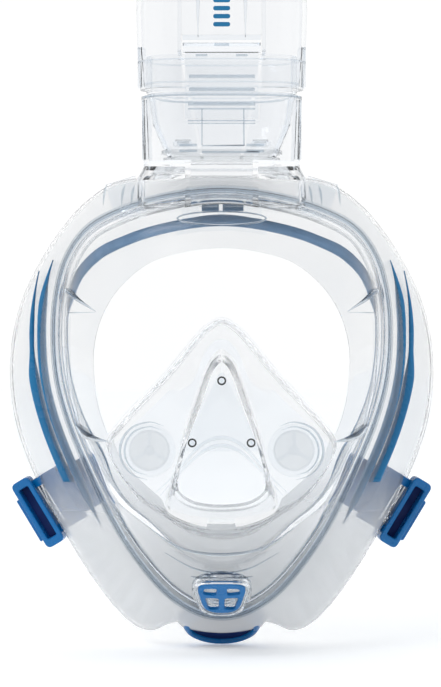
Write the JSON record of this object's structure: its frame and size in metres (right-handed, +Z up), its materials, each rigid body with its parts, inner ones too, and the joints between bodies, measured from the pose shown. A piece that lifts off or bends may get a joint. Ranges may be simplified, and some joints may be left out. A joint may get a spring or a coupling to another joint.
{
  "type": "snorkel mask",
  "caption": "Full-face snorkel mask with a clear bent window, soft face skirt, nose and mouth cup, chin purge valve, strap clips and a plug-in snorkel.",
  "frame": {"origin": "middle of the face seal, between the wearer's temples", "axes": "+Z up as worn, -Y the way the wearer looks, +X to the right of someone looking at the front"},
  "size_m": [0.1928, 0.1224, 0.4318],
  "materials": {
    "clear_shell": "polished clear polycarbonate",
    "clear_frame": "moulded clear polycarbonate",
    "blue_plastic": "moulded satin plastic",
    "silicone": "frosted translucent silicone",
    "clear_silicone": "glossy clear silicone",
    "blue_print": "printed mark",
    "steel_pin": "stainless pin",
    "float_foam": "hollow plastic float"
  },
  "bodies": {
    "mask": {"visor_lens": "clear_shell", "front_frame": "clear_frame", "seal_frame": "blue_plastic", "face_skirt": "silicone", "oronasal_pocket": "clear_silicone", "nose_plate": "clear_frame", "nose_plate_rivets": "clear_frame", "purge_seat": "clear_frame", "purge_cover": "blue_plastic", "chin_cap": "blue_plastic", "air_inlet_frame": "clear_frame", "air_baffle": "clear_frame", "snorkel_socket": "clear_shell", "socket_gasket": "clear_silicone", "inhale_seat_left": "clear_frame", "inhale_seat_right": "clear_frame", "clip_pin_left": "steel_pin", "clip_pin_right": "steel_pin", "strap_bracket_left": "blue_plastic", "strap_bracket_right": "blue_plastic", "strap_loop_left": "clear_frame", "strap_loop_right": "clear_frame"},
    "snorkel": {"snorkel_base": "clear_frame", "base_seal": "clear_silicone", "snorkel_tube": "clear_shell", "tube_mark": "blue_print", "drytop_body": "blue_plastic", "drytop_cap": "blue_plastic", "exhale_seat_left": "clear_frame", "exhale_seat_right": "clear_frame"},
    "latch": {"release_latch": "clear_frame"},
    "float": {"float_block": "float_foam", "float_seal": "clear_silicone"},
    "purge_valve": {"purge_flap": "clear_silicone"},
    "inhale_valve_left": {"inhale_flap_left": "clear_silicone"},
    "inhale_valve_right": {"inhale_flap_right": "clear_silicone"},
    "exhale_valve_left": {"exhale_flap_left": "clear_silicone"},
    "exhale_valve_right": {"exhale_flap_right": "clear_silicone"},
    "clip_left": {"strap_clip_left": "blue_plastic"},
    "clip_right": {"strap_clip_right": "blue_plastic"}
  },
  "joints": [
    {"name": "snorkel_lift", "type": "slide", "parent": "mask", "child": "snorkel", "axis": [0, 0, 1], "range_m": [0, 0.04]},
    {"name": "latch_press", "type": "hinge", "parent": "snorkel", "child": "latch", "pos_m": [0, -0.081, 0.1505], "axis": [1, 0, 0], "range_deg": [0, 2], "stiffness_Nm_per_rad": 0.4},
    {"name": "float_rise", "type": "slide", "parent": "snorkel", "child": "float", "axis": [0, 0, 1], "range_m": [0, 0.01]},
    {"name": "purge_flap_lift", "type": "slide", "parent": "mask", "child": "purge_valve", "axis": [0, -0.6157, -0.788], "range_m": [0, 0.0012], "stiffness_N_per_m": 20},
    {"name": "inhale_flap_left_lift", "type": "slide", "parent": "mask", "child": "inhale_valve_left", "axis": [0, 1, 0], "range_m": [0, 0.0015], "stiffness_N_per_m": 20},
    {"name": "exhale_flap_left_lift", "type": "slide", "parent": "snorkel", "child": "exhale_valve_left", "axis": [0, 0, 1], "range_m": [0, 0.002], "stiffness_N_per_m": 20},
    {"name": "clip_left_swivel", "type": "hinge", "parent": "mask", "child": "clip_left", "pos_m": [-0.07726, -0.00847, -0.04685], "axis": [0.515, 0, -0.8572], "range_deg": [-10, 28]},
    {"name": "inhale_flap_right_lift", "type": "slide", "parent": "mask", "child": "inhale_valve_right", "axis": [0, 1, 0], "range_m": [0, 0.0015], "stiffness_N_per_m": 20},
    {"name": "exhale_flap_right_lift", "type": "slide", "parent": "snorkel", "child": "exhale_valve_right", "axis": [0, 0, 1], "range_m": [0, 0.002], "stiffness_N_per_m": 20},
    {"name": "clip_right_swivel", "type": "hinge", "parent": "mask", "child": "clip_right", "pos_m": [0.07726, -0.00847, -0.04685], "axis": [0.515, 0, 0.8572], "range_deg": [-10, 28]}
  ]
}
